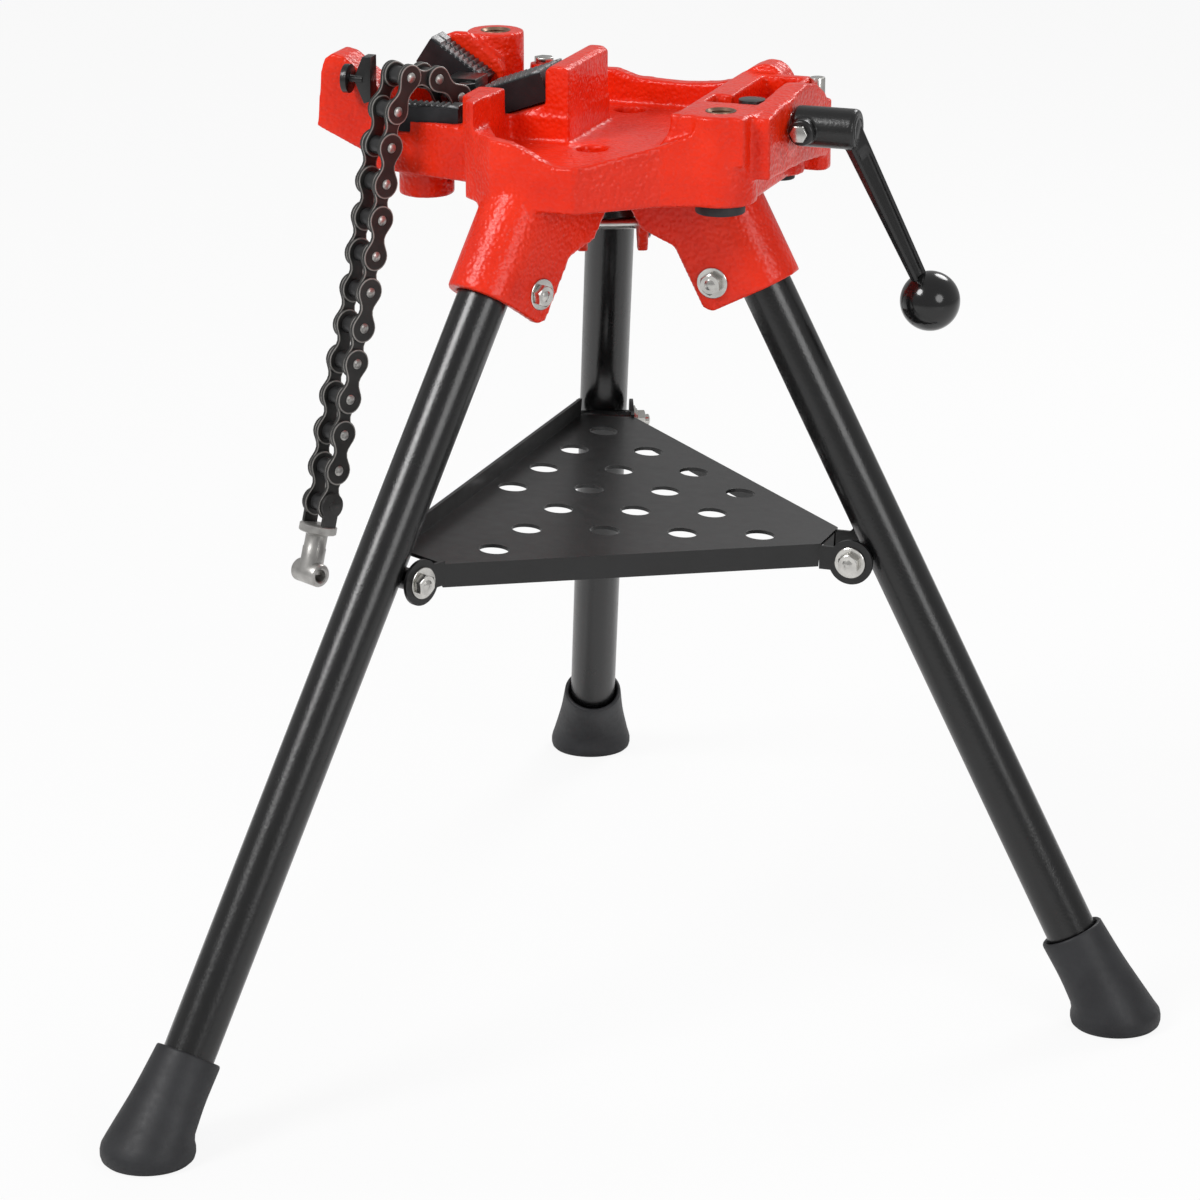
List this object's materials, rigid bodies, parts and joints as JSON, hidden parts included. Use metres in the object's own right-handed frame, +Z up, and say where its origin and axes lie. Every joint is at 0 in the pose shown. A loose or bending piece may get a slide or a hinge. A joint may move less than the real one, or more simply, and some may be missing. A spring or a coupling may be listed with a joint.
{
  "type": "tripod pipe vise stand",
  "caption": "Tripod stand with pipe legs, a rigid tool tray and a cast chain vise head whose hinged roller chain is drawn tight by a crank screw.",
  "frame": {"origin": "on the floor, under the centre of the outer box of the whole stand", "axes": "+Z up; +X towards the crank end of the vise head and the single rear leg; +Y away from the side where the chain hangs, along the pipe that the vise holds"},
  "size_m": [0.73, 1.1272, 0.7978],
  "materials": {
    "red_casting": "glossy red enamel over cast iron",
    "black_tube": "gloss black enamel on steel pipe",
    "black_rubber": "matt black moulded rubber",
    "black_sheet": "textured black powder coat on steel sheet",
    "jaw_steel": "black oxide tool steel",
    "chain_steel": "dark oiled chain steel",
    "zinc_steel": "zinc plated steel",
    "black_forging": "satin black forged steel",
    "black_knob": "satin black plastic"
  },
  "bodies": {
    "stand": {"boss_bolts": "black_forging", "boss_plug": "black_rubber", "horn_wing": "black_forging", "jaw_front_far": "jaw_steel", "jaw_front_near": "jaw_steel", "jaw_rear": "jaw_steel", "leg_tube_back": "black_tube", "leg_tube_left": "black_tube", "leg_tube_right": "black_tube", "post_pad": "black_rubber", "rubber_foot_back": "black_rubber", "rubber_foot_left": "black_rubber", "rubber_foot_right": "black_rubber", "socket_bolts": "zinc_steel", "socket_nuts": "zinc_steel", "socket_washers": "zinc_steel", "tray": "black_sheet", "tray_bolts": "zinc_steel", "tray_nuts": "zinc_steel", "tray_washers": "zinc_steel", "vise_base": "red_casting"},
    "crank": {"crank_clamp_bolt": "zinc_steel", "crank_handle": "black_forging", "crank_knob": "black_knob", "vise_screw": "zinc_steel"},
    "draw_yoke": {"chain_yoke": "chain_steel", "draw_nut": "black_forging", "drawbar": "black_forging"},
    "chain_link_01": {"chain_link_01": "chain_steel"},
    "chain_link_02": {"chain_link_02": "chain_steel"},
    "chain_link_03": {"chain_link_03": "chain_steel"},
    "chain_link_04": {"chain_link_04": "chain_steel"},
    "chain_link_05": {"chain_link_05": "chain_steel"},
    "chain_link_06": {"chain_link_06": "chain_steel"},
    "chain_link_07": {"chain_link_07": "chain_steel"},
    "chain_link_08": {"chain_link_08": "chain_steel"},
    "chain_link_09": {"chain_link_09": "chain_steel"},
    "chain_link_10": {"chain_link_10": "chain_steel"},
    "chain_link_11": {"chain_link_11": "chain_steel"},
    "chain_link_12": {"chain_link_12": "chain_steel"},
    "chain_link_13": {"chain_link_13": "chain_steel"},
    "chain_link_14": {"chain_link_14": "chain_steel"},
    "chain_end": {"chain_end_fitting": "zinc_steel", "chain_end_shackle": "zinc_steel"}
  },
  "joints": [
    {"name": "crank_turn", "type": "hinge", "parent": "stand", "child": "crank", "pos_m": [0.0649, 0, 0.75], "axis": [1, 0, 0], "range_deg": [0, 2880]},
    {"name": "yoke_slide", "type": "slide", "parent": "stand", "child": "draw_yoke", "axis": [1, 0, 0], "range_m": [-0.024, 0]},
    {"name": "chain_link_01_bend", "type": "hinge", "parent": "draw_yoke", "child": "chain_link_01", "pos_m": [-0.25065, -0.03497, 0.762], "axis": [0.866, -0.5, 0], "range_deg": [-24, 1]},
    {"name": "chain_link_02_bend", "type": "hinge", "parent": "chain_link_01", "child": "chain_link_02", "pos_m": [-0.26235, -0.05524, 0.7804], "axis": [0.866, -0.5, 0], "range_deg": [-24, 1]},
    {"name": "chain_link_03_bend", "type": "hinge", "parent": "chain_link_02", "child": "chain_link_03", "pos_m": [-0.27712, -0.08082, 0.78561], "axis": [0.866, -0.5, 0], "range_deg": [-24, 1]},
    {"name": "chain_link_04_bend", "type": "hinge", "parent": "chain_link_03", "child": "chain_link_04", "pos_m": [-0.28416, -0.09302, 0.75912], "axis": [0.866, -0.5, 0], "range_deg": [-24, 4]},
    {"name": "chain_link_05_bend", "type": "hinge", "parent": "chain_link_04", "child": "chain_link_05", "pos_m": [-0.28779, -0.09931, 0.73001], "axis": [0.866, -0.5, 0], "range_deg": [-24, 4]},
    {"name": "chain_link_06_bend", "type": "hinge", "parent": "chain_link_05", "child": "chain_link_06", "pos_m": [-0.29065, -0.10426, 0.70056], "axis": [0.866, -0.5, 0], "range_deg": [-24, 4]},
    {"name": "chain_link_07_bend", "type": "hinge", "parent": "chain_link_06", "child": "chain_link_07", "pos_m": [-0.29326, -0.10877, 0.67102], "axis": [0.866, -0.5, 0], "range_deg": [-24, 4]},
    {"name": "chain_link_08_bend", "type": "hinge", "parent": "chain_link_07", "child": "chain_link_08", "pos_m": [-0.29663, -0.11462, 0.64179], "axis": [0.866, -0.5, 0], "range_deg": [-24, 4]},
    {"name": "chain_link_09_bend", "type": "hinge", "parent": "chain_link_08", "child": "chain_link_09", "pos_m": [-0.29975, -0.12002, 0.61244], "axis": [0.866, -0.5, 0], "range_deg": [-24, 4]},
    {"name": "chain_link_10_bend", "type": "hinge", "parent": "chain_link_09", "child": "chain_link_10", "pos_m": [-0.30338, -0.12631, 0.58334], "axis": [0.866, -0.5, 0], "range_deg": [-24, 4]},
    {"name": "chain_link_11_bend", "type": "hinge", "parent": "chain_link_10", "child": "chain_link_11", "pos_m": [-0.30726, -0.13303, 0.55436], "axis": [0.866, -0.5, 0], "range_deg": [-24, 4]},
    {"name": "chain_link_12_bend", "type": "hinge", "parent": "chain_link_11", "child": "chain_link_12", "pos_m": [-0.31115, -0.13975, 0.52538], "axis": [0.866, -0.5, 0], "range_deg": [-24, 4]},
    {"name": "chain_link_13_bend", "type": "hinge", "parent": "chain_link_12", "child": "chain_link_13", "pos_m": [-0.31452, -0.1456, 0.49615], "axis": [0.866, -0.5, 0], "range_deg": [-24, 4]},
    {"name": "chain_link_14_bend", "type": "hinge", "parent": "chain_link_13", "child": "chain_link_14", "pos_m": [-0.31764, -0.151, 0.4668], "axis": [0.866, -0.5, 0], "range_deg": [-24, 4]},
    {"name": "chain_end_bend", "type": "hinge", "parent": "chain_link_14", "child": "chain_end", "pos_m": [-0.32127, -0.15729, 0.4377], "axis": [0.866, -0.5, 0], "range_deg": [-24, 4]}
  ],
  "couplings": [
    {"joint": "yoke_slide", "follows": "crank_turn", "m_per_rad": -0.00047746}
  ]
}
